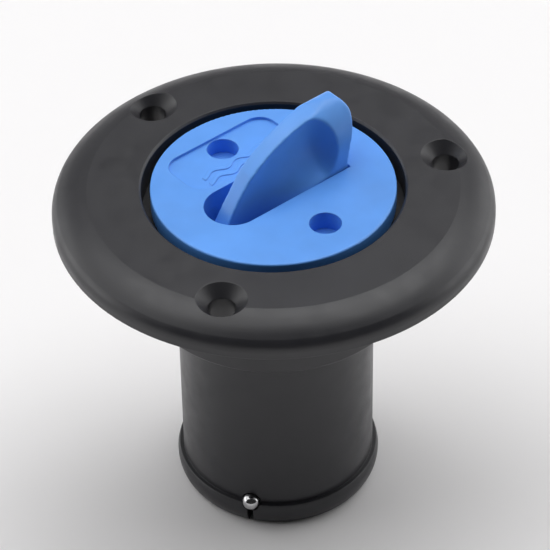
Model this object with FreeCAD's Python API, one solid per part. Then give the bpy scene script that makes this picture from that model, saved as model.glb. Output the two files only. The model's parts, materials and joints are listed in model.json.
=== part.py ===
import FreeCAD, Part
import math
import os

from FreeCAD import Vector

# Deck fill cap for a 38 mm hose, in millimetres, +Z up.
# z = 0 is the deck plane, which is the underside of the flange; the fill axis is Z.
# One screw hole and the chain keyhole lie on the -Y side.

# ---- driving dimensions: deck body -------------------------------------------------
FLANGE_R = 41.7            # widest radius of the flange
FLANGE_T = 6.5             # flange thickness, deck to flat top
FLAT_R = 35.0              # outer radius of the flat top
CROWN_BREAK = 8.0          # degrees by which the top turns down where the flat ends
CROWN_END = 40.0           # degrees of slope where the crown meets the edge round
EDGE_R = 3.0               # round of the flange edge
EDGE_Z = 1.7               # height at which the flange is widest
SCREW_CIRCLE_R = 33.6
SCREW_HOLE_R = 2.6         # clearance hole for an M5 countersunk screw
SCREW_HEAD_R = 4.75
SCREW_COUNT = 3

RECESS_R = 24.8            # round recess that the cap sits in
SEAT_Z = 0.8               # seat that the O-ring closes on
BOSS_TOP_R = 26.9          # threaded cup under the deck, drafted
BOSS_LOW_R = 25.9
BOSS_Z = -18.1

TUBE_R = 19.0              # hose tail
BORE_R = 16.7
TAIL_Z = -64.7
BARB_TOP_Z = -59.2         # hose bead at the end of the tail
BARB_WIDE_Z = -61.2
BARB_R = 20.15
BARB_LIP_R = 19.75
BARB_END_R = 19.1

KEYHOLE_Z = -58.9          # hole that holds the end ball of the chain
KEYHOLE_R = 1.85
KEYHOLE_SLIT = 1.2

# ---- driving dimensions: screw thread, two-start ------------------------------------
LEAD = 6.0
STARTS = 2
MALE_CREST_R = 20.8
MALE_ROOT_R = 19.5
FEMALE_ROOT_R = 21.1
FEMALE_CREST_R = 19.8
THREAD_TOP_Z = -1.6
THREAD_LOW_Z = -9.4
RIDGE_BASE = 1.5
RIDGE_CREST = 0.8
RIDGE_SINK = 0.3           # depth by which a ridge is rooted in its wall

# ---- driving dimensions: cap --------------------------------------------------------
CAP_R = 23.1
CAP_TOP_Z = 6.4
CAP_DISC_T = 3.8
CAP_EDGE_R = 0.35
SLOT_AZ = 56.0             # direction of the handle slot, degrees from +X
SLOT_HALF_W = 5.5
SLOT_ROUND_S = -9.7        # centre of the slot's round end, along the slot
SLOT_END_S = 14.4          # square end of the slot
PLUG_BORE_R = 17.3
PLUG_LOW_Z = -10.4
POCKET_WALL = 1.4
POCKET_LIMIT_R = 16.5
SPANNER_OFFSET = 14.95     # two holes for a pin spanner, one each side of the slot
SPANNER_HOLE_R = 3.05
SPANNER_WALL = 1.3
PANEL_HALF_LEN = 12.4      # sunk panel for the fluid symbol
PANEL_NEAR = 6.9
PANEL_FAR = 18.2
PANEL_CORNER_R = 3.6
PANEL_DEPTH = 0.6
SYMBOL_ROWS = 2            # raised waves, the sign for water
SYMBOL_NEAR = 8.7
SYMBOL_PITCH = 2.0
SYMBOL_LEN = 17.0
SYMBOL_SWING = 0.55
SYMBOL_RISE = 0.15
SYMBOL_STROKE = 0.9

O_RING_SECTION = 1.7
O_RING_R = 21.9

# ---- driving dimensions: handle -----------------------------------------------------
PIN_S = 9.0                # handle pin, along the slot and below the cap top
PIN_H = -5.35
PIN_R = 1.5
PIN_BORE_R = 1.56
HANDLE_HALF_W = 5.2
HANDLE_LEFT_S = -13.4      # end of the handle that swings down into the pocket
POCKET_REACH = 24.3        # radius of the pocket about the pin
HEEL_R = 4.6
HANDLE_TOP_H = 13.9
ARCH_START_H = 4.2         # above this the cross-section rounds over to the top
SCOOP_R = 11.0             # finger scoops: round-bottomed hollows bent along the front edge
SCOOP_SIDE = 12.2          # offset of a scoop's centre line from the middle of the handle
SCOOP_BEND_R = 20.7
SCOOP_BEND_S = 10.0
SCOOP_BEND_H = -12.1
SCOOP_HIGH_AT = 98.0       # degrees round the bend at which the scoop's domed end starts
SCOOP_LOW_AT = 185.0
SCOOP_DOME = 5.8           # how far the domed end runs on

# ---- driving dimensions: ball chain --------------------------------------------------
BALL_R = 1.75
BALL_WALL = 0.4
BALL_HOLE_R = 0.85
CHAIN_PITCH = 4.6
WIRE_R = 0.4
WIRE_HEAD_R = 0.5
WIRE_HEAD_INSET = 0.75     # a link's round head sits this far from the ball's centre
HANGING_BALLS = 8
FLOOR_Z = TAIL_Z + BALL_R + 0.2
CHAIN_GAP = 0.35
LUG_R = 3.9
SOCKET_R = 2.1
SOCKET_SLIT = 1.8

MALE_HEIGHT = MALE_CREST_R - MALE_ROOT_R
FEMALE_HEIGHT = FEMALE_ROOT_R - FEMALE_CREST_R
CAP_DISC_Z = CAP_TOP_Z - CAP_DISC_T
CHAIN_TOP_Z = FLOOR_Z + HANGING_BALLS * CHAIN_PITCH

# The slack of the chain on its way round the floor of the tail to the keyhole.
CHAIN_ROUTE = [
    (0.0, 0.0, FLOOR_Z),
    (5.2, -1.8, FLOOR_Z),
    (10.0, 0.6, FLOOR_Z),
    (11.6, 5.2, FLOOR_Z),
    (8.8, 10.0, FLOOR_Z),
    (3.0, 12.6, FLOOR_Z),
    (-4.0, 12.2, FLOOR_Z),
    (-10.0, 8.2, FLOOR_Z),
    (-12.7, 2.0, FLOOR_Z),
    (-11.9, -4.6, FLOOR_Z),
    (-8.4, -9.2, FLOOR_Z),
    (-3.2, -12.0, FLOOR_Z + 0.6),
    (-0.3, -15.2, KEYHOLE_Z - 0.5),
    (0.0, -TUBE_R - 0.3, KEYHOLE_Z),
]


class Outline:
    """A closed outline in the XZ plane, drawn point by point."""

    def __init__(self, x, z):
        self.here = Vector(x, 0, z)
        self.start = self.here
        self.edges = []

    def line(self, x, z):
        end = Vector(x, 0, z)
        self.edges.append(Part.makeLine(self.here, end))
        self.here = end
        return self

    def arc(self, via, end):
        middle = Vector(via[0], 0, via[1])
        end = Vector(end[0], 0, end[1])
        self.edges.append(Part.Arc(self.here, middle, end).toShape())
        self.here = end
        return self

    def face(self):
        self.edges.append(Part.makeLine(self.here, self.start))
        return Part.Face(Part.Wire(self.edges))

    def revolved(self):
        return self.face().revolve(Vector(0, 0, 0), Vector(0, 0, 1), 360)

    def extruded(self, half_width):
        face = self.face()
        face.translate(Vector(0, -half_width, 0))
        return face.extrude(Vector(0, 2 * half_width, 0))


def polar(centre, radius, degrees):
    """Point at an angle on a circle in the XZ plane."""
    angle = math.radians(degrees)
    return (centre[0] + radius * math.cos(angle), centre[1] + radius * math.sin(angle))


def cylinder(radius, low, high, x=0.0, y=0.0):
    return Part.makeCylinder(radius, high - low, Vector(x, y, low))


def helical_ridge(wall_r, height, middle_z, low_z, high_z):
    """Thread ridges on a wall, one per start; height is positive outwards."""
    sink = -math.copysign(RIDGE_SINK, height)
    widest = RIDGE_BASE / 2 + RIDGE_SINK * (RIDGE_BASE - RIDGE_CREST) / (2 * abs(height))
    corners = [
        Vector(wall_r + sink, 0, low_z - widest),
        Vector(wall_r + height, 0, low_z - RIDGE_CREST / 2),
        Vector(wall_r + height, 0, low_z + RIDGE_CREST / 2),
        Vector(wall_r + sink, 0, low_z + widest),
    ]
    section = Part.makePolygon(corners + corners[:1])
    ridges = []
    for start in range(STARTS):
        helix = Part.makeHelix(LEAD, high_z - low_z, wall_r)
        helix.translate(Vector(0, 0, low_z))
        ridge = Part.Wire(helix).makePipeShell([section], True, True)
        turn = (low_z - middle_z) / LEAD * 360 + start * 360 / STARTS
        ridge.rotate(Vector(0, 0, 0), Vector(0, 0, 1), turn)
        ridges.append(ridge)
    return ridges


def flange_crown():
    """The two arcs from the flat top down to the widest point of the flange."""
    edge_centre = (FLANGE_R - EDGE_R, EDGE_Z)
    meet = polar(edge_centre, EDGE_R, 90 - CROWN_END)
    bow = math.radians((CROWN_END - CROWN_BREAK) / 4)
    chord_x = meet[0] - FLAT_R
    chord_z = meet[1] - FLANGE_T
    sag = math.hypot(chord_x, chord_z) / 2 * math.tan(bow)
    lift = math.atan2(chord_z, chord_x) + math.pi / 2
    crown_middle = (
        FLAT_R + chord_x / 2 + sag * math.cos(lift),
        FLANGE_T + chord_z / 2 + sag * math.sin(lift),
    )
    edge_middle = polar(edge_centre, EDGE_R, (90 - CROWN_END) / 2)
    return crown_middle, meet, edge_middle


def deck_moulding():
    """The black moulding as one solid: flange, recess, threaded cup and hose tail."""
    crown_middle, meet, edge_middle = flange_crown()
    fillet = 0.9
    break_edge = 0.4
    corner = math.cos(math.radians(45))
    outline = Outline(RECESS_R, SEAT_Z)
    outline.line(RECESS_R, FLANGE_T - break_edge)
    outline.line(RECESS_R + break_edge, FLANGE_T)
    outline.line(FLAT_R, FLANGE_T)
    outline.arc(crown_middle, meet)
    outline.arc(edge_middle, (FLANGE_R, EDGE_Z))
    outline.line(FLANGE_R, break_edge)
    outline.line(FLANGE_R - break_edge, 0)
    outline.line(BOSS_TOP_R + fillet, 0)
    outline.arc(
        (BOSS_TOP_R + fillet * (1 - corner), -fillet * (1 - corner)),
        (BOSS_TOP_R, -fillet),
    )
    outline.line(BOSS_LOW_R, BOSS_Z + fillet)
    outline.arc(
        (BOSS_LOW_R - fillet * (1 - corner), BOSS_Z + fillet * (1 - corner)),
        (BOSS_LOW_R - fillet, BOSS_Z),
    )
    outline.line(TUBE_R + fillet, BOSS_Z)
    outline.arc(
        (TUBE_R + fillet * (1 - corner), BOSS_Z - fillet * (1 - corner)),
        (TUBE_R, BOSS_Z - fillet),
    )
    outline.line(TUBE_R, BARB_TOP_Z)
    outline.line(BARB_LIP_R, BARB_TOP_Z)
    outline.arc((BARB_R - 0.08, BARB_TOP_Z - 0.9), (BARB_R, BARB_WIDE_Z))
    outline.arc((BARB_R - 0.32, BARB_WIDE_Z - 1.8), (BARB_END_R, TAIL_Z + break_edge))
    outline.line(BARB_END_R - break_edge, TAIL_Z)
    outline.line(BORE_R, TAIL_Z)
    outline.line(BORE_R, THREAD_LOW_Z - 6.6)
    outline.line(FEMALE_ROOT_R, THREAD_LOW_Z - 2.2)
    outline.line(FEMALE_ROOT_R, SEAT_Z - break_edge)
    outline.line(FEMALE_ROOT_R + break_edge, SEAT_Z)
    body = outline.revolved()

    between = LEAD / STARTS / 2
    for ridge in helical_ridge(FEMALE_ROOT_R, -FEMALE_HEIGHT, between, THREAD_LOW_Z, THREAD_TOP_Z):
        body = body.fuse(ridge)

    sink = SCREW_HEAD_R - SCREW_HOLE_R
    for number in range(SCREW_COUNT):
        angle = math.radians(-90 + number * 360 / SCREW_COUNT)
        x = SCREW_CIRCLE_R * math.cos(angle)
        y = SCREW_CIRCLE_R * math.sin(angle)
        body = body.cut(cylinder(SCREW_HOLE_R, -1, FLANGE_T + 1, x, y))
        head = Part.makeCone(SCREW_HOLE_R, SCREW_HEAD_R + 0.5, sink + 0.5, Vector(x, y, FLANGE_T - sink))
        body = body.cut(head)

    wall = TUBE_R - BORE_R
    keyhole = Part.makeCylinder(KEYHOLE_R, wall + 4, Vector(0, 2 - BORE_R, KEYHOLE_Z), Vector(0, -1, 0))
    slit = Part.makeBox(
        KEYHOLE_SLIT,
        wall + 4,
        KEYHOLE_Z - TAIL_Z + 1,
        Vector(-KEYHOLE_SLIT / 2, -TUBE_R - 2, TAIL_Z - 1),
    )
    return body.cut(keyhole).cut(slit)


def deck_nodes():
    """The black moulding in three solids, one above the other, that meet face to face."""
    whole = deck_moulding()
    levels = {
        "deck_flange": (0, FLANGE_T + 1),
        "threaded_cup": (BOSS_Z, 0),
        "tail_tube": (TAIL_Z - 1, BOSS_Z),
    }
    return {name: whole.common(cylinder(FLANGE_R + 1, low, high)) for name, (low, high) in levels.items()}


def slot_prism(margin, low, high):
    """The slot's plan, round at one end and square at the other, between two heights."""
    half = SLOT_HALF_W + margin
    round_end = cylinder(half, low, high, SLOT_ROUND_S)
    straight = Part.makeBox(
        SLOT_END_S + margin - SLOT_ROUND_S,
        2 * half,
        high - low,
        Vector(SLOT_ROUND_S, -half, low),
    )
    return round_end.fuse(straight).removeSplitter()


def pocket_sweep(margin):
    """The room that the folding handle sweeps, as a slab about the handle pin."""
    reach = POCKET_REACH + margin
    right = SLOT_END_S + margin
    pin = (PIN_S, CAP_TOP_Z + PIN_H)
    low_right = pin[1] - math.sqrt(reach ** 2 - (right - PIN_S) ** 2)
    outline = Outline(right, CAP_TOP_Z + 1)
    outline.line(right, low_right)
    outline.arc(polar(pin, reach, -135), (PIN_S - reach, pin[1]))
    outline.line(PIN_S - reach, CAP_TOP_Z + 1)
    return outline.extruded(SLOT_HALF_W + margin)


def wave_stroke(centre_y):
    """One raised wave of the symbol, a ribbon of constant width."""
    samples = 25
    upper = []
    lower = []
    for step in range(samples):
        x = SYMBOL_LEN * (step / (samples - 1) - 0.5)
        phase = 6 * math.pi * x / SYMBOL_LEN
        y = centre_y + SYMBOL_SWING * math.cos(phase)
        upper.append(Vector(x, y + SYMBOL_STROKE / 2, CAP_TOP_Z - PANEL_DEPTH))
        lower.append(Vector(x, y - SYMBOL_STROKE / 2, CAP_TOP_Z - PANEL_DEPTH))
    top_curve = Part.BSplineCurve()
    top_curve.interpolate(upper)
    low_curve = Part.BSplineCurve()
    low_curve.interpolate(lower)
    edges = [
        top_curve.toShape(),
        Part.makeLine(upper[-1], lower[-1]),
        low_curve.toShape(),
        Part.makeLine(lower[0], upper[0]),
    ]
    face = Part.Face(Part.Wire(Part.__sortEdges__(edges)))
    return face.extrude(Vector(0, 0, SYMBOL_RISE))


def panel_recess():
    """Shallow sunk panel beside the slot, with rounded corners."""
    block = Part.makeBox(
        2 * PANEL_HALF_LEN,
        PANEL_FAR - PANEL_NEAR,
        PANEL_DEPTH + 1,
        Vector(-PANEL_HALF_LEN, PANEL_NEAR, CAP_TOP_Z - PANEL_DEPTH),
    )
    upright = [edge for edge in block.Edges if abs(edge.tangentAt(edge.FirstParameter).z) > 0.9]
    return block.makeFillet(PANEL_CORNER_R, upright)


def chain_lug():
    """Lug under the cap with a snap-in socket for the top ball of the chain."""
    low = CHAIN_TOP_Z - SOCKET_R - 0.7
    return cylinder(LUG_R, low, CHAIN_TOP_Z + SOCKET_R + 4)


def socket_cut():
    ball = Part.makeSphere(SOCKET_R, Vector(0, 0, CHAIN_TOP_Z))
    entry = Part.makeCylinder(SOCKET_R, LUG_R + 1, Vector(0, 0, CHAIN_TOP_Z), Vector(0, 1, 0))
    slit = Part.makeBox(
        SOCKET_SLIT,
        LUG_R + 1 + SOCKET_SLIT / 2,
        4,
        Vector(-SOCKET_SLIT / 2, -SOCKET_SLIT / 2, CHAIN_TOP_Z - 4),
    )
    return ball.fuse(entry).fuse(slit)


def pin_bore():
    length = 2 * (CAP_R + POCKET_WALL)
    return Part.makeCylinder(PIN_R, length, Vector(PIN_S, -length / 2, CAP_TOP_Z + PIN_H), Vector(0, 1, 0))


def handle_room():
    """All that is cut out of the cap for the handle to fold into."""
    return pocket_sweep(0).common(slot_prism(0, CAP_TOP_Z - 40, CAP_TOP_Z + 1))


def cap_moulding():
    """Blue cap without its pocket: disc with slot, key holes and symbol panel, and threaded plug."""
    disc = cylinder(CAP_R, CAP_DISC_Z, CAP_TOP_Z)
    top_rim = [edge for edge in disc.Edges if abs(edge.CenterOfMass.z - CAP_TOP_Z) < 0.01 and edge.Closed]
    disc = disc.makeFillet(CAP_EDGE_R, top_rim)
    plug = cylinder(MALE_ROOT_R, PLUG_LOW_Z, CAP_DISC_Z + 0.1).cut(
        cylinder(PLUG_BORE_R, PLUG_LOW_Z - 1, CAP_DISC_Z)
    )
    shell = disc.fuse(plug).cut(handle_room())
    slot_phase = LEAD * SLOT_AZ / 360
    for ridge in helical_ridge(MALE_ROOT_R, MALE_HEIGHT, slot_phase, THREAD_LOW_Z, THREAD_TOP_Z):
        shell = shell.fuse(ridge)
    boss_r = SPANNER_HOLE_R + SPANNER_WALL
    for y in (SPANNER_OFFSET, -SPANNER_OFFSET):
        shell = shell.fuse(cylinder(boss_r, CAP_DISC_Z - SPANNER_WALL, CAP_DISC_Z + 0.1, 0, y))
        shell = shell.cut(cylinder(SPANNER_HOLE_R, CAP_DISC_Z, CAP_TOP_Z + 1, 0, y))
    shell = shell.cut(panel_recess())
    for row in range(SYMBOL_ROWS):
        shell = shell.fuse(wave_stroke(SYMBOL_NEAR + row * SYMBOL_PITCH))
    return in_slot_direction(shell)


def cap_nodes():
    """The cap in two solids, disc and plug, that meet face to face under the disc."""
    whole = cap_moulding()
    return {
        "cap_disc": whole.common(cylinder(CAP_R + 1, CAP_DISC_Z, CAP_TOP_Z + 1)),
        "threaded_plug": whole.common(cylinder(CAP_R + 1, PLUG_LOW_Z - 1, CAP_DISC_Z)),
    }


def pocket_housing():
    """Closed pocket moulded under the cap's disc, with the chain lug at its bottom."""
    below = cylinder(POCKET_LIMIT_R, CAP_TOP_Z - 40, CAP_DISC_Z)
    plan = slot_prism(POCKET_WALL, CAP_TOP_Z - 40, CAP_TOP_Z).common(below)
    housing = pocket_sweep(POCKET_WALL).common(plan).fuse(chain_lug())
    housing = housing.cut(handle_room()).cut(socket_cut()).cut(pin_bore())
    return in_slot_direction(housing)


def in_slot_direction(shape):
    shape.rotate(Vector(0, 0, 0), Vector(0, 0, 1), SLOT_AZ)
    return shape


def handle_outline():
    """Side view of the handle standing up; s runs along the slot and h above the cap top."""
    top = CAP_TOP_Z
    left = HANDLE_LEFT_S
    pin = (PIN_S, top + PIN_H)
    outline = Outline(left + 0.4, top - 3.3)
    outline.arc((-10.4, top + 0.95), (-6.5, top + 6.1))
    outline.arc((0.9, top + 10.8), (9.5, top + HANDLE_TOP_H - 0.5))
    outline.arc((12.6, top + HANDLE_TOP_H), (14.9, top + HANDLE_TOP_H - 0.3))
    outline.arc((15.9, top + 12.3), (16.1, top + 10.6))
    outline.arc((15.6, top + 7.8), (14.7, top + 4.6))
    outline.line(14.1, top + 1.0)
    outline.line(14.1, top - 1.0)
    outline.line(PIN_S + HEEL_R, pin[1])
    outline.arc(polar(pin, HEEL_R, -45), (PIN_S, pin[1] - HEEL_R))
    outline.line(left + 1.6, top - 6.4)
    outline.arc((left + 0.2, top - 5.6), (left + 0.02, top - 4.6))
    return outline


def handle_arch():
    """Slab along the slot with an arched cross-section, straight below and elliptical above."""
    low = CAP_TOP_Z - 20
    start = CAP_TOP_Z + ARCH_START_H
    rise = HANDLE_TOP_H - ARCH_START_H
    half = HANDLE_HALF_W
    crown = Part.Ellipse(Vector(-30, 0, start + rise), Vector(-30, half, start), Vector(-30, 0, start))
    arch = Part.ArcOfEllipse(crown, -math.pi / 2, math.pi / 2).toShape()
    ends = sorted((vertex.Point for vertex in arch.Vertexes), key=lambda point: point.y)
    low_left = Vector(-30, ends[0].y, low)
    low_right = Vector(-30, ends[1].y, low)
    sides = [
        Part.makeLine(ends[0], low_left),
        Part.makeLine(low_left, low_right),
        Part.makeLine(low_right, ends[1]),
    ]
    face = Part.Face(Part.Wire(Part.__sortEdges__([arch] + sides)))
    return face.extrude(Vector(60, 0, 0))


def finger_scoop(side):
    """Round-bottomed hollow that follows the front edge and ends in a blunt dome."""
    hub = Vector(SCOOP_BEND_S, side * SCOOP_SIDE, CAP_TOP_Z + SCOOP_BEND_H)
    end = polar((hub.x, hub.z), SCOOP_BEND_R, SCOOP_HIGH_AT)
    centre = Vector(end[0], hub.y, end[1])
    angle = math.radians(SCOOP_HIGH_AT - 90)
    ahead = Vector(math.cos(angle), 0, math.sin(angle))
    disc = Part.Face(Part.Wire(Part.makeCircle(SCOOP_R, centre, ahead)))
    trough = disc.revolve(hub, Vector(0, -1, 0), SCOOP_LOW_AT - SCOOP_HIGH_AT)
    flatten = FreeCAD.Matrix()
    flatten.scale(1, 1, SCOOP_DOME / SCOOP_R)
    dome = Part.makeSphere(SCOOP_R).transformGeometry(flatten)
    dome.Placement = FreeCAD.Placement(centre, FreeCAD.Rotation(Vector(0, 0, 1), ahead))
    return trough.fuse(dome)


def handle():
    """Folding handle: an arched blade with a finger scoop in each side, drilled for its pin."""
    solid = handle_outline().extruded(HANDLE_HALF_W).common(handle_arch())
    for side in (-1, 1):
        solid = solid.cut(finger_scoop(side))
    pin_z = CAP_TOP_Z + PIN_H
    bore = Part.makeCylinder(PIN_BORE_R, 20, Vector(PIN_S, -10, pin_z), Vector(0, 1, 0))
    return in_slot_direction(solid.cut(bore).removeSplitter())


def handle_pin():
    half = SLOT_HALF_W + POCKET_WALL
    pin = Part.makeCylinder(PIN_R, 2 * half, Vector(PIN_S, -half, CAP_TOP_Z + PIN_H), Vector(0, 1, 0))
    ends = [edge for edge in pin.Edges if edge.Closed]
    return in_slot_direction(pin.makeChamfer(0.25, ends))


def o_ring():
    middle = SEAT_Z + O_RING_SECTION / 2 + 0.05
    return Part.makeTorus(O_RING_R, O_RING_SECTION / 2, Vector(0, 0, middle))


def ball_places():
    """Centres of the balls, from the cap's lug down and round the floor to the keyhole."""
    hanging = [Vector(0, 0, CHAIN_TOP_Z - number * CHAIN_PITCH) for number in range(HANGING_BALLS)]
    curve = Part.BSplineCurve()
    curve.interpolate([Vector(*point) for point in CHAIN_ROUTE])
    edge = curve.toShape()
    spans = round(edge.Length / CHAIN_PITCH)
    return hanging, edge.discretize(Number=spans + 1)


def ball(centre, towards, away):
    """Hollow ball with a hole on each side for the links."""
    shell = Part.makeSphere(BALL_R, centre).cut(Part.makeSphere(BALL_R - BALL_WALL, centre))
    for direction in (towards, away):
        if direction is not None:
            shell = shell.cut(Part.makeCylinder(BALL_HOLE_R, BALL_R + 1, centre, direction))
    return shell


def link(start, end, short):
    """Wire between two balls, with a round head inside each; a short one stops below the upper ball."""
    axis = (end - start).normalize()
    neck = math.sqrt(WIRE_HEAD_R ** 2 - WIRE_R ** 2)
    length = (end - start).Length - 2 * WIRE_HEAD_INSET
    outline = Outline(0, -WIRE_HEAD_R)
    outline.arc((WIRE_HEAD_R, 0), (WIRE_R, neck))
    if short:
        length = length + WIRE_HEAD_INSET - BALL_R - CHAIN_GAP
        outline.line(WIRE_R, length)
        outline.line(0, length)
    else:
        outline.line(WIRE_R, length - neck)
        outline.arc((WIRE_HEAD_R, length), (0, length + WIRE_HEAD_R))
    wire = outline.revolved()
    turn = FreeCAD.Rotation(Vector(0, 0, 1), -axis)
    wire.Placement = FreeCAD.Placement(end - axis * WIRE_HEAD_INSET, turn)
    return wire


def chain():
    """Every ball and link of the chain in its own node."""
    hanging, lying = ball_places()
    places = hanging + lying
    nodes = {}
    for number, centre in enumerate(places):
        towards = places[number - 1] - centre if number > 0 else None
        away = places[number + 1] - centre if number + 1 < len(places) else None
        nodes[f"chain_ball_{number + 1:02d}"] = ball(centre, towards, away)
        if away is not None:
            short = number + 1 == len(hanging)
            nodes[f"chain_link_{number + 1:02d}"] = link(centre, places[number + 1], short)
    return nodes


def main():
    os.makedirs("parts", exist_ok=True)
    nodes = deck_nodes()
    nodes.update(cap_nodes())
    nodes.update({
        "pocket_housing": pocket_housing(),
        "cap_o_ring": o_ring(),
        "handle": handle(),
        "handle_pin": handle_pin(),
    })
    nodes.update(chain())
    for name, shape in nodes.items():
        shape.exportStep(f"parts/{name}.step")
        print(name, shape.isValid(), len(shape.Solids), round(shape.Volume, 2))


main()
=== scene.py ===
import json
import math

import bpy
from mathutils import Matrix, Vector


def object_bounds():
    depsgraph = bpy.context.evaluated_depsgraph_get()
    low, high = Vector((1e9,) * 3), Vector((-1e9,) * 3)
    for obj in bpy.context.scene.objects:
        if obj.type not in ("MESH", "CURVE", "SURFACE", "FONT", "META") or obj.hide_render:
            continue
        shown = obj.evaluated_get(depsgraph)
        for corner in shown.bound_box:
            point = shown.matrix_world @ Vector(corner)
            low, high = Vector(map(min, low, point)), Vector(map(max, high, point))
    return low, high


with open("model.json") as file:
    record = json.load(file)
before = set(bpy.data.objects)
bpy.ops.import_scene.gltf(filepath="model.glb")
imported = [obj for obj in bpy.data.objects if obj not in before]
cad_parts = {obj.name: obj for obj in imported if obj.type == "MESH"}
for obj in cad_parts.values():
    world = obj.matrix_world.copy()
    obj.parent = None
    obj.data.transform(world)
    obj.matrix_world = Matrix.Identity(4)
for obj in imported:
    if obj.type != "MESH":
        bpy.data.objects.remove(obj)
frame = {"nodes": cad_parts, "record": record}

CAD_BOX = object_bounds()
MM = 0.001

# ---- camera: a long lens above the screw hole side, turned towards +X --------------------
CAMERA_AZIMUTH = 16.7
CAMERA_REACH = 422.9 * MM
CAMERA_HEIGHT = 353.3 * MM
CAMERA_PITCH = 41.14
CAMERA_ROLL = -1.09
CAMERA_LENS = 191.4

# ---- colours, linear ---------------------------------------------------------------------
BLACK = (0.0205, 0.0205, 0.0245)
# Lighter black painted along sharp edges as a highlight.
BLACK_EDGE_HIGHLIGHT = (0.045, 0.045, 0.048)
BLUE = (0.11, 0.35, 0.90)
# Lighter blue painted along sharp edges as a highlight.
BLUE_EDGE_HIGHLIGHT = (0.15, 0.42, 0.95)
CLOUD_SHADE = 0.86                 # the darker patches of a moulding, as a share of its colour
RUBBER = (0.012, 0.012, 0.012)
RUBBER_DUST = (0.03, 0.03, 0.03)
STEEL = (0.62, 0.62, 0.63)
STEEL_STAIN = (0.42, 0.42, 0.43)
PALE_FLOOR = (0.88, 0.87, 0.875)
PLASTIC_IOR = 1.5

# ---- handle: edges rounded over by remeshing and smoothing -------------------------------
GRIP_VOXEL = 0.18 * MM
GRIP_SMOOTHING = 26

# ---- floor: a sweep of paper that bends up behind the object, metres ---------------------
FLOOR_REACH = 3.0
FLOOR_BACK = 1.6
FLOOR_HEIGHT = 2.2
FLOOR_BEND = 0.5
FLOOR_BEND_STEPS = 12

# ---- light -------------------------------------------------------------------------------
ROOM_LIGHT = 0.58
ROOM_DARK = 0.03                   # the room on the camera's side
ROOM_DARK_FROM = 0.0               # cosine of the angle from the camera's side
ROOM_DARK_TO = 0.35
# Name, azimuth from the camera's side, elevation, distance, width, height in metres, watts.
SOFTBOXES = [
    ("overhead", 180, 76, 1.6, 2.0, 1.3, 12.5),
    ("left_fill", -100, 58, 1.6, 1.4, 1.2, 5.0),
    ("right_fill", 136, 58, 1.6, 1.4, 1.2, 5.5),
    ("left_panel", -104, 12, 1.1, 1.3, 0.6, 4.2),
    ("right_panel", 112, 14, 1.1, 1.3, 0.7, 4.4),
]


class Nodes:
    """Builds one material's node tree."""

    def __init__(self, name):
        self.material = bpy.data.materials.new(name)
        self.material.use_nodes = True
        self.tree = self.material.node_tree
        self.shader = self.tree.nodes["Principled BSDF"]

    def add(self, kind, **inputs):
        node = self.tree.nodes.new(kind)
        for key, value in inputs.items():
            node.inputs[key.replace("_", " ")].default_value = value
        return node

    def link(self, source, target):
        self.tree.links.new(source, target)

    def noise(self, size, detail=2.0, rough=0.5):
        """Noise in object space; size is the feature size in metres."""
        where = self.add("ShaderNodeTexCoord")
        noise = self.add("ShaderNodeTexNoise", Scale=1 / size, Detail=detail, Roughness=rough)
        self.link(where.outputs["Object"], noise.inputs["Vector"])
        return noise.outputs["Fac"]

    def ramp(self, source, low, high, out_low=0.0, out_high=1.0):
        ramp = self.tree.nodes.new("ShaderNodeMapRange")
        ramp.inputs["From Min"].default_value = low
        ramp.inputs["From Max"].default_value = high
        ramp.inputs["To Min"].default_value = out_low
        ramp.inputs["To Max"].default_value = out_high
        self.link(source, ramp.inputs["Value"])
        return ramp.outputs["Result"]

    def mix(self, factor, first, second):
        mix = self.tree.nodes.new("ShaderNodeMix")
        mix.data_type = "RGBA"
        self.link(factor, mix.inputs["Factor"])
        for socket, colour in (("A", first), ("B", second)):
            target = [item for item in mix.inputs if item.name == socket and item.type == "RGBA"][0]
            if isinstance(colour, tuple):
                target.default_value = (*colour, 1)
            else:
                self.link(colour, target)
        return [item for item in mix.outputs if item.type == "RGBA"][0]

    def maths(self, operation, first, second):
        node = self.tree.nodes.new("ShaderNodeMath")
        node.operation = operation
        node.use_clamp = True
        for number, value in enumerate((first, second)):
            if isinstance(value, float):
                node.inputs[number].default_value = value
            else:
                self.link(value, node.inputs[number])
        return node.outputs["Value"]

    def rounded(self, radius):
        """Normals with every sharp edge softened by a small radius."""
        bevel = self.tree.nodes.new("ShaderNodeBevel")
        bevel.samples = 6
        bevel.inputs["Radius"].default_value = radius
        return bevel.outputs["Normal"]

    def edges(self, radius):
        """1 along sharp edges, 0 on flat stretches."""
        geometry = self.tree.nodes.new("ShaderNodeNewGeometry")
        dot = self.tree.nodes.new("ShaderNodeVectorMath")
        dot.operation = "DOT_PRODUCT"
        self.link(self.rounded(radius), dot.inputs[0])
        self.link(geometry.outputs["Normal"], dot.inputs[1])
        return self.ramp(dot.outputs["Value"], 0.97, 0.75)

    def bump(self, height, distance, strength, normal=None):
        bump = self.tree.nodes.new("ShaderNodeBump")
        bump.inputs["Distance"].default_value = distance
        bump.inputs["Strength"].default_value = strength
        self.link(height, bump.inputs["Height"])
        if normal is not None:
            self.link(normal, bump.inputs["Normal"])
        return bump.outputs["Normal"]


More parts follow.
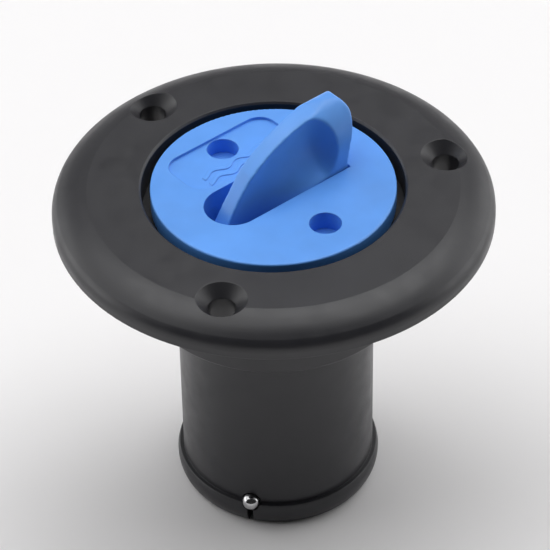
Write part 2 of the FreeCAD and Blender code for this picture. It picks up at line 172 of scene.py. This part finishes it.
def moulded_plastic(name, colour, edge_highlight, rough, grain_size, grain_depth, soften):
    """Moulded plastic: fine grain, faint cloudiness, and a painted highlight along the edges, broken
    into patches by noise.
    """
    nodes = Nodes(name)
    cloud = nodes.ramp(nodes.noise(11 * MM, 3.0), 0.3, 0.7)
    tint = nodes.mix(cloud, colour, tuple(CLOUD_SHADE * part for part in colour))
    # Painted highlight: sharp edges get a lighter colour in noisy patches, standing in for light
    # caught on the edges.
    highlight_patches = nodes.ramp(nodes.noise(1.7 * MM, 4.0, 0.7), 0.42, 0.68)
    highlight_mask = nodes.maths("MULTIPLY", nodes.edges(soften * 1.4), highlight_patches)
    nodes.link(nodes.mix(highlight_mask, tint, edge_highlight), nodes.shader.inputs["Base Color"])
    gloss = nodes.ramp(nodes.noise(4 * MM, 3.0), 0.3, 0.7, rough - 0.05, rough + 0.06)
    nodes.link(gloss, nodes.shader.inputs["Roughness"])
    grain = nodes.noise(grain_size, 3.0, 0.65)
    surface = nodes.bump(grain, grain_depth, 0.55, nodes.rounded(soften))
    nodes.link(surface, nodes.shader.inputs["Normal"])
    nodes.shader.inputs["IOR"].default_value = PLASTIC_IOR
    return nodes.material


def rubber():
    nodes = Nodes("nitrile_rubber")
    dusty = nodes.ramp(nodes.noise(1.5 * MM, 4.0), 0.4, 0.7)
    nodes.link(nodes.mix(dusty, RUBBER, RUBBER_DUST), nodes.shader.inputs["Base Color"])
    nodes.link(nodes.ramp(dusty, 0.0, 1.0, 0.55, 0.75), nodes.shader.inputs["Roughness"])
    nodes.link(nodes.bump(nodes.noise(0.2 * MM), 0.02 * MM, 0.4), nodes.shader.inputs["Normal"])
    return nodes.material


def bright_metal(name, rough):
    nodes = Nodes(name)
    nodes.shader.inputs["Metallic"].default_value = 1.0
    stain = nodes.ramp(nodes.noise(0.9 * MM, 4.0), 0.35, 0.75)
    nodes.link(nodes.mix(stain, STEEL, STEEL_STAIN), nodes.shader.inputs["Base Color"])
    nodes.link(nodes.ramp(stain, 0.0, 1.0, rough, rough + 0.12), nodes.shader.inputs["Roughness"])
    nodes.link(nodes.bump(nodes.noise(0.25 * MM, 2.0), 0.01 * MM, 0.4), nodes.shader.inputs["Normal"])
    return nodes.material


def dress_cad_nodes():
    materials = {
        "black_plastic": moulded_plastic(
            "black_moulding",
            BLACK,
            BLACK_EDGE_HIGHLIGHT,
            rough=0.38,
            grain_size=0.22 * MM,
            grain_depth=0.03 * MM,
            soften=0.2 * MM,
        ),
        "blue_plastic": moulded_plastic(
            "blue_moulding",
            BLUE,
            BLUE_EDGE_HIGHLIGHT,
            rough=0.40,
            grain_size=0.35 * MM,
            grain_depth=0.012 * MM,
            soften=0.25 * MM,
        ),
        "black_rubber": rubber(),
        "stainless": bright_metal("drawn_stainless", 0.25),
        "bright_steel": bright_metal("bright_ball_chain", 0.12),
    }
    for entry in frame["record"]["subparts"]:
        node = frame["nodes"][entry["node"]]
        for slot in node.material_slots:
            slot.material = materials[entry["material_slot"]]


def soften_handle():
    """Rounds the handle's edges over, as they are on a moulded grip."""
    handle = frame["nodes"]["handle"]
    voxels = handle.modifiers.new("voxels", "REMESH")
    voxels.mode = "VOXEL"
    voxels.voxel_size = GRIP_VOXEL
    voxels.use_smooth_shade = True
    smooth = handle.modifiers.new("smooth", "SMOOTH")
    smooth.factor = 0.5
    smooth.iterations = GRIP_SMOOTHING


def floor():
    """Seamless pale floor that the tail stands on."""
    foot = Vector((0, 0, CAD_BOX[0][2]))
    mesh = bpy.data.meshes.new("floor")
    rows = [(-FLOOR_REACH, 0.0)]
    for step in range(FLOOR_BEND_STEPS + 1):
        angle = math.radians(90 * step / FLOOR_BEND_STEPS)
        rows.append((FLOOR_BACK + FLOOR_BEND * math.sin(angle), FLOOR_BEND * (1 - math.cos(angle))))
    rows.append((FLOOR_BACK + FLOOR_BEND, FLOOR_HEIGHT))
    vertices = []
    faces = []
    turn = Matrix.Rotation(math.radians(CAMERA_AZIMUTH), 3, "Z")
    for along, up in rows:
        for side in (-FLOOR_REACH, FLOOR_REACH):
            vertices.append(turn @ Vector((side, along, up)) + foot)
    for row in range(len(rows) - 1):
        first = 2 * row
        faces.append((first, first + 1, first + 3, first + 2))
    mesh.from_pydata(vertices, [], faces)
    mesh.polygons.foreach_set("use_smooth", [True] * len(faces))
    sweep = bpy.data.objects.new("floor", mesh)
    bpy.context.scene.collection.objects.link(sweep)
    nodes = Nodes("paper_backdrop")
    nodes.shader.inputs["Base Color"].default_value = (*PALE_FLOOR, 1)
    nodes.shader.inputs["Roughness"].default_value = 0.9
    mesh.materials.append(nodes.material)


def softbox(name, azimuth, elevation, distance, width, height, power):
    """Area light aimed at the object; azimuth 0 is the camera's side, 90 its right."""
    data = bpy.data.lights.new(name, "AREA")
    data.shape = "RECTANGLE"
    data.size = width
    data.size_y = height
    data.energy = power
    light = bpy.data.objects.new(name, data)
    turn = math.radians(azimuth + CAMERA_AZIMUTH)
    lift = math.radians(elevation)
    level = math.cos(lift)
    direction = Vector((math.sin(turn) * level, -math.cos(turn) * level, math.sin(lift)))
    light.location = direction * distance
    light.rotation_euler = direction.to_track_quat("Z", "Y").to_euler()
    bpy.context.scene.collection.objects.link(light)


def studio_room():
    """White room light from the back and the sides, darker on the camera's side."""
    world = bpy.data.worlds.new("studio")
    world.use_nodes = True
    tree = world.node_tree
    background = tree.nodes["Background"]
    background.inputs["Color"].default_value = (1, 1, 1, 1)
    where = tree.nodes.new("ShaderNodeTexCoord")
    facing = tree.nodes.new("ShaderNodeVectorMath")
    facing.operation = "DOT_PRODUCT"
    turn = math.radians(CAMERA_AZIMUTH)
    facing.inputs[1].default_value = (math.sin(turn), -math.cos(turn), 0)
    level = tree.nodes.new("ShaderNodeMapRange")
    level.inputs["From Min"].default_value = ROOM_DARK_FROM
    level.inputs["From Max"].default_value = ROOM_DARK_TO
    level.inputs["To Min"].default_value = ROOM_LIGHT
    level.inputs["To Max"].default_value = ROOM_DARK
    tree.links.new(where.outputs["Generated"], facing.inputs[0])
    tree.links.new(facing.outputs["Value"], level.inputs["Value"])
    tree.links.new(level.outputs["Result"], background.inputs["Strength"])
    bpy.context.scene.world = world


def lights():
    for box in SOFTBOXES:
        softbox(*box)
    bpy.context.scene.view_settings.view_transform = "Standard"


def camera():
    """Camera at the object's viewing angle, looking down at it with a slight roll."""
    data = bpy.data.cameras.new("camera")
    data.lens = CAMERA_LENS
    data.sensor_width = 36
    data.clip_start = 0.01
    eye = bpy.data.objects.new("camera", data)
    turn = math.radians(CAMERA_AZIMUTH)
    pitch = math.radians(CAMERA_PITCH)
    roll = math.radians(CAMERA_ROLL)
    location = Vector((CAMERA_REACH * math.sin(turn), -CAMERA_REACH * math.cos(turn), CAMERA_HEIGHT))
    ahead = math.cos(pitch)
    forward = Vector((-math.sin(turn) * ahead, math.cos(turn) * ahead, -math.sin(pitch)))
    level = forward.cross(Vector((0, 0, 1))).normalized()
    upright = level.cross(forward)
    right = level * math.cos(roll) + upright * math.sin(roll)
    up = upright * math.cos(roll) - level * math.sin(roll)
    facing = Matrix((right, up, -forward)).transposed().to_4x4()
    eye.matrix_world = Matrix.Translation(location) @ facing
    bpy.context.scene.collection.objects.link(eye)
    bpy.context.scene.camera = eye


dress_cad_nodes()
soften_handle()
floor()
studio_room()
lights()
camera()
